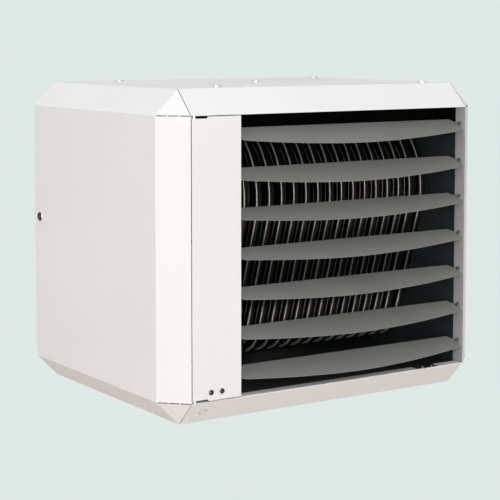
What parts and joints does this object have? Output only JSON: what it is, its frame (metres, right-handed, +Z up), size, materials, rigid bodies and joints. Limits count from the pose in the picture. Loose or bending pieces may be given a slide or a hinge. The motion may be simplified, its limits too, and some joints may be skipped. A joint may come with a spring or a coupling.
{
  "type": "suspended fan heater",
  "caption": "Suspended warm-air heater in a chamfered sheet casing, with a hinged service door, a bank of bowed pivoting louvres, a tubular heat exchanger and an axial fan.",
  "frame": {"origin": "middle of the flat top face of the casing, which hangs from the ceiling", "axes": "+Z up, -Y towards the air outlet with the louvres, +X to the right as seen from in front"},
  "size_m": [0.7034, 0.5879, 0.5865],
  "materials": {
    "casing_white": "powder coated, fine texture",
    "louvre_grey": "satin grey paint",
    "rail_grey": "satin grey paint",
    "duct_steel": "dark, heat-tinted sheet",
    "exchanger_steel": "polished stainless steel, heat-tinted",
    "zinc": "zinc plated",
    "cast_aluminium": "as cast",
    "black_plastic": "matt",
    "black_wire": "black powder coat",
    "grey_plastic": "matt",
    "brass": "plain",
    "ceramic": "glazed white"
  },
  "bodies": {
    "casing": {"top_panel": "casing_white", "bottom_panel": "casing_white", "front_panel_left": "casing_white", "side_cover_right": "casing_white", "rear_panel": "casing_white", "louvre_rail_left": "rail_grey", "louvre_rail_right": "rail_grey", "duct_divider": "duct_steel", "duct_side_right": "duct_steel", "duct_floor": "duct_steel", "heat_shield": "duct_steel", "combustion_drum": "exchanger_steel", "exchanger_outer_bank": "exchanger_steel", "exchanger_inner_bank": "exchanger_steel", "burner_head": "exchanger_steel", "flue_pipe": "exchanger_steel", "suspension_nut_1": "zinc", "suspension_nut_2": "zinc", "suspension_nut_3": "zinc", "suspension_nut_4": "zinc", "suspension_nut_5": "zinc", "burner_flange": "zinc", "flue_spigot": "zinc", "air_intake_spigot": "zinc", "fan_ring": "zinc", "hinge_pin_top": "zinc", "hinge_pin_bottom": "zinc", "hinge_bracket_top": "zinc", "hinge_bracket_bottom": "zinc", "mixing_elbow": "cast_aluminium", "blower_housing": "cast_aluminium", "gas_valve": "cast_aluminium", "fan_motor": "cast_aluminium", "panel_screw_1": "black_plastic", "panel_screw_2": "black_plastic", "floor_screw_1": "black_plastic", "floor_screw_2": "black_plastic", "blower_motor": "black_plastic", "control_board": "black_plastic", "cable_gland_1": "black_plastic", "cable_gland_2": "black_plastic", "fan_guard": "black_wire", "control_box": "grey_plastic", "control_box_lid": "grey_plastic", "terminal_strip": "grey_plastic", "gas_pipe": "brass", "injector_pipe": "brass", "ignition_electrode": "ceramic"},
    "door": {"service_door": "casing_white", "lock_nut": "zinc"},
    "lock": {"lock_barrel": "black_plastic", "lock_cam": "zinc"},
    "fan": {"fan_impeller": "black_plastic"},
    "louvre_1": {"louvre_1": "louvre_grey"},
    "louvre_2": {"louvre_2": "louvre_grey"},
    "louvre_3": {"louvre_3": "louvre_grey"},
    "louvre_4": {"louvre_4": "louvre_grey"},
    "louvre_5": {"louvre_5": "louvre_grey"},
    "louvre_6": {"louvre_6": "louvre_grey"},
    "louvre_7": {"louvre_7": "louvre_grey"}
  },
  "joints": [
    {"name": "service_door_hinge", "type": "hinge", "parent": "casing", "child": "door", "pos_m": [-0.298, -0.256, -0.292], "axis": [0, 0, 1], "range_deg": [0, 110]},
    {"name": "door_lock_turn", "type": "hinge", "parent": "door", "child": "lock", "pos_m": [-0.35, 0.236, -0.261], "axis": [-1, 0, 0], "range_deg": [0, 90]},
    {"name": "louvre_1_pivot", "type": "hinge", "parent": "casing", "child": "louvre_1", "pos_m": [0.05, -0.242, -0.078], "axis": [1, 0, 0], "range_deg": [-30, 22]},
    {"name": "louvre_2_pivot", "type": "hinge", "parent": "casing", "child": "louvre_2", "pos_m": [0.05, -0.242, -0.148], "axis": [1, 0, 0], "range_deg": [-30, 22]},
    {"name": "louvre_3_pivot", "type": "hinge", "parent": "casing", "child": "louvre_3", "pos_m": [0.05, -0.242, -0.218], "axis": [1, 0, 0], "range_deg": [-30, 22]},
    {"name": "louvre_4_pivot", "type": "hinge", "parent": "casing", "child": "louvre_4", "pos_m": [0.05, -0.242, -0.288], "axis": [1, 0, 0], "range_deg": [-30, 22]},
    {"name": "louvre_5_pivot", "type": "hinge", "parent": "casing", "child": "louvre_5", "pos_m": [0.05, -0.242, -0.358], "axis": [1, 0, 0], "range_deg": [-30, 22]},
    {"name": "louvre_6_pivot", "type": "hinge", "parent": "casing", "child": "louvre_6", "pos_m": [0.05, -0.242, -0.428], "axis": [1, 0, 0], "range_deg": [-30, 22]},
    {"name": "louvre_7_pivot", "type": "hinge", "parent": "casing", "child": "louvre_7", "pos_m": [0.05, -0.242, -0.498], "axis": [1, 0, 0], "range_deg": [-30, 22]},
    {"name": "fan_spin", "type": "hinge", "parent": "casing", "child": "fan", "pos_m": [0.05, 0.23, -0.292], "axis": [0, 1, 0], "continuous": true}
  ]
}
